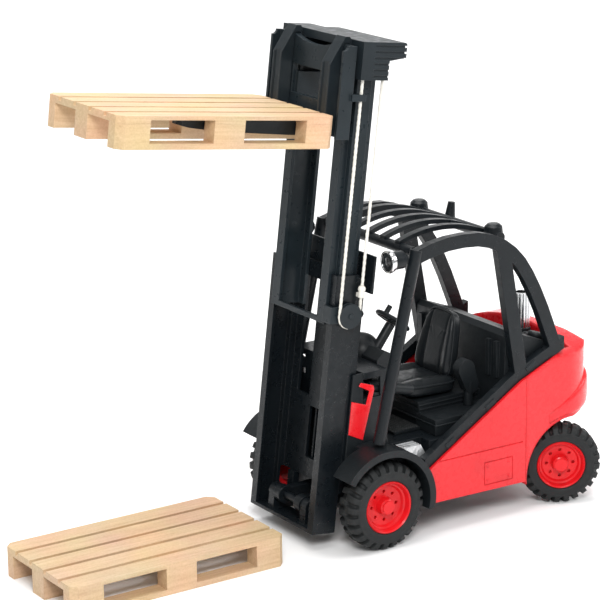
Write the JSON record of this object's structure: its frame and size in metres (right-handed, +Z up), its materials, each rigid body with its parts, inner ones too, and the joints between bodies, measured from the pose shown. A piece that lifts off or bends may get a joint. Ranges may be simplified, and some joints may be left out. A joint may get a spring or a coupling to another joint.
{
  "type": "toy forklift truck",
  "caption": "Toy counterbalance forklift with tilting, telescoping cord-driven mast, steered rear axle, open cab with driver guard, and two loose load pallets.",
  "frame": {"origin": "on the ground, under the middle of the overall outline at rest", "axes": "+X forward towards the forks, +Y to the left of the truck, +Z up"},
  "size_m": [0.3806, 0.132, 0.307],
  "materials": {
    "black": "moulded plastic, satin",
    "grey": "moulded plastic, fine grain",
    "red": "moulded plastic, glossy",
    "tyre": "moulded rubber, lugged",
    "chrome": "plated plastic",
    "tread": "silver plastic tread",
    "steel": "plain steel",
    "cord": "twisted cord",
    "pallet": "wood-coloured moulded plastic"
  },
  "bodies": {
    "truck": {"chassis": "black", "front_axle": "steel", "rear_beam": "black", "mast_pin": "steel", "cowl": "red", "side_panel_left": "red", "side_panel_right": "red", "counterweight": "red", "engine_cover": "grey", "exhaust": "chrome", "fender_left": "black", "fender_right": "black", "step_left": "tread", "step_right": "tread", "guard_side_left": "black", "guard_side_right": "black", "roof_headers": "black", "roof_slats": "black", "lamp_left": "black", "lamp_right": "black", "lamp_ring_left": "chrome", "lamp_ring_right": "chrome", "rear_lamps": "grey", "seat_base": "grey", "seat_cushion": "grey", "seat_back": "grey", "armrest": "grey", "dash": "grey", "tilt_barrels": "black"},
    "mast": {"fixed_rail_left": "black", "fixed_rail_right": "black", "mast_back": "black", "cord_anchor": "cord"},
    "tilt_rod_left": {"tilt_rod_left": "steel"},
    "tilt_rod_right": {"tilt_rod_right": "steel"},
    "lift_frame": {"sliding_mast": "black", "crosshead": "black", "cord": "cord"},
    "pulley_low": {"pulley_low": "grey"},
    "pulley_high": {"pulley_high": "grey"},
    "carriage": {"carriage": "black"},
    "fork_left": {"fork_left": "black"},
    "fork_right": {"fork_right": "black"},
    "carried_pallet": {"carried_deck": "pallet", "carried_runners": "pallet"},
    "floor_pallet": {"floor_deck": "pallet", "floor_runners": "pallet"},
    "front_wheel_left": {"front_tyre_left": "tyre", "front_rim_left": "red"},
    "front_wheel_right": {"front_tyre_right": "tyre", "front_rim_right": "red"},
    "knuckle_left": {"knuckle_left": "black"},
    "knuckle_right": {"knuckle_right": "black"},
    "tie_rod": {"tie_rod": "black"},
    "rear_wheel_left": {"rear_tyre_left": "tyre", "rear_rim_left": "red"},
    "rear_wheel_right": {"rear_tyre_right": "tyre", "rear_rim_right": "red"},
    "steering_wheel": {"steering_wheel": "grey"}
  },
  "joints": [
    {"name": "mast_tilt", "type": "hinge", "parent": "truck", "child": "mast", "pos_m": [0.01531, 0, 0.022], "axis": [0, 1, 0], "range_deg": [0, 10]},
    {"name": "tilt_rod_left_slide", "type": "slide", "parent": "truck", "child": "tilt_rod_left", "axis": [0.9693, 0, 0.2461], "range_m": [0, 0.0139]},
    {"name": "tilt_rod_right_slide", "type": "slide", "parent": "truck", "child": "tilt_rod_right", "axis": [0.9693, 0, 0.2461], "range_m": [0, 0.0139]},
    {"name": "mast_lift", "type": "slide", "parent": "mast", "child": "lift_frame", "axis": [-0.1271, 0, 0.9919], "range_m": [-0.114, 0]},
    {"name": "carriage_lift", "type": "slide", "parent": "lift_frame", "child": "carriage", "axis": [-0.1271, 0, 0.9919], "range_m": [-0.114, 0]},
    {"name": "pulley_low_spin", "type": "hinge", "parent": "lift_frame", "child": "pulley_low", "pos_m": [-0.00125, 0.038, 0.14338], "axis": [0, 1, 0], "continuous": true},
    {"name": "pulley_high_spin", "type": "hinge", "parent": "lift_frame", "child": "pulley_high", "pos_m": [-0.01999, 0.038, 0.28968], "axis": [0, 1, 0], "continuous": true},
    {"name": "fork_left_shift", "type": "slide", "parent": "carriage", "child": "fork_left", "axis": [0, 1, 0], "range_m": [-0.01, 0]},
    {"name": "fork_right_shift", "type": "slide", "parent": "carriage", "child": "fork_right", "axis": [0, 1, 0], "range_m": [0, 0.01]},
    {"name": "carried_pallet_lift_off", "type": "slide", "parent": "carriage", "child": "carried_pallet", "axis": [-0.1271, 0, 0.9919], "range_m": [0, 0.03]},
    {"name": "floor_pallet_lift_off", "type": "slide", "parent": "truck", "child": "floor_pallet", "axis": [0, 0, 1], "range_m": [0, 0.03]},
    {"name": "front_wheel_left_spin", "type": "hinge", "parent": "truck", "child": "front_wheel_left", "pos_m": [-0.01469, 0.05, 0.027], "axis": [0, 1, 0], "continuous": true},
    {"name": "front_wheel_right_spin", "type": "hinge", "parent": "truck", "child": "front_wheel_right", "pos_m": [-0.01469, -0.05, 0.027], "axis": [0, 1, 0], "continuous": true},
    {"name": "knuckle_left_steer", "type": "hinge", "parent": "truck", "child": "knuckle_left", "pos_m": [-0.15869, 0.035, 0.0255], "axis": [0, 0, 1], "range_deg": [0, 56]},
    {"name": "rear_wheel_left_spin", "type": "hinge", "parent": "knuckle_left", "child": "rear_wheel_left", "pos_m": [-0.15165, 0.04824, 0.0255], "axis": [0.4695, 0.8829, 0], "continuous": true},
    {"name": "knuckle_right_steer", "type": "hinge", "parent": "truck", "child": "knuckle_right", "pos_m": [-0.15869, -0.035, 0.0255], "axis": [0, 0, 1], "range_deg": [0, 56]},
    {"name": "rear_wheel_right_spin", "type": "hinge", "parent": "knuckle_right", "child": "rear_wheel_right", "pos_m": [-0.16573, -0.04824, 0.0255], "axis": [0.4695, 0.8829, 0], "continuous": true},
    {"name": "tie_rod_slide", "type": "slide", "parent": "truck", "child": "tie_rod", "axis": [0, 1, 0], "range_m": [0, 0.00845]},
    {"name": "steering_wheel_spin", "type": "hinge", "parent": "truck", "child": "steering_wheel", "pos_m": [-0.03869, 0.008, 0.106], "axis": [-0.6157, 0, 0.788], "continuous": true}
  ],
  "couplings": [
    {"joint": "tilt_rod_left_slide", "follows": "mast_tilt", "m_per_rad": 0.079625},
    {"joint": "tilt_rod_right_slide", "follows": "mast_tilt", "m_per_rad": 0.079625},
    {"joint": "carriage_lift", "follows": "mast_lift", "ratio": 1},
    {"joint": "knuckle_right_steer", "follows": "knuckle_left_steer", "ratio": 1},
    {"joint": "tie_rod_slide", "follows": "knuckle_left_steer", "m_per_rad": 0.008646}
  ]
}
